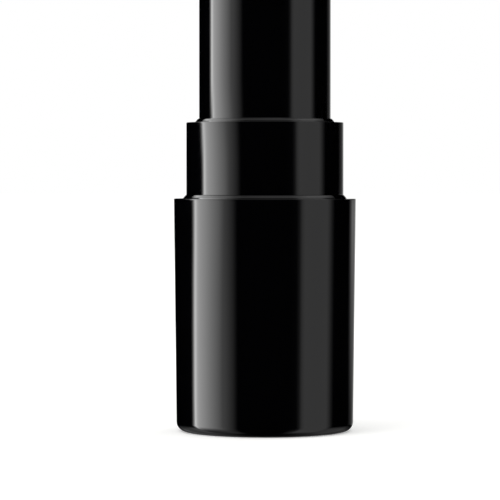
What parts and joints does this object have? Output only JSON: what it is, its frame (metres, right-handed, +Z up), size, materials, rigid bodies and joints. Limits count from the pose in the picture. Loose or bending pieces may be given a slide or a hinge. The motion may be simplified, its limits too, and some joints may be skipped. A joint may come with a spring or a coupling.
{
  "type": "face paint stick",
  "caption": "Twist-up stick of wax face paint in a stepped round black case; turning the base against the upper tube winds the paint up or down.",
  "frame": {"origin": "centre of the foot, on the surface that the stick stands on", "axes": "+Z up along the stick's axis towards the paint; the two lugs of the paint cup lie along X"},
  "size_m": [0.022, 0.022, 0.0856],
  "materials": {
    "case_black": "mirror-polished black injection moulding",
    "mechanism_black": "satin black moulding",
    "drag_silicone": "translucent silicone",
    "helix_acetal": "natural acetal, as moulded",
    "cup_natural": "natural plastic, as moulded",
    "wax_paint": "soft satin cast wax paint, white"
  },
  "bodies": {
    "base": {"base_shell": "case_black", "collar_sleeve": "case_black", "slotted_tube": "mechanism_black", "drag_ring": "drag_silicone"},
    "sleeve": {"upper_tube": "case_black", "helix_sleeve": "helix_acetal"},
    "carriage": {"paint_cup": "cup_natural", "paint_stick": "wax_paint"}
  },
  "joints": [
    {"name": "sleeve_twist", "type": "hinge", "parent": "base", "child": "sleeve", "pos_m": [0, 0, 0.0373], "axis": [0, 0, -1], "range_deg": [-479.5, 238]},
    {"name": "paint_lift", "type": "slide", "parent": "base", "child": "carriage", "axis": [0, 0, 1], "range_m": [-0.018, 0.00895]}
  ],
  "couplings": [
    {"joint": "paint_lift", "follows": "sleeve_twist", "m_per_rad": 0.0021486}
  ]
}
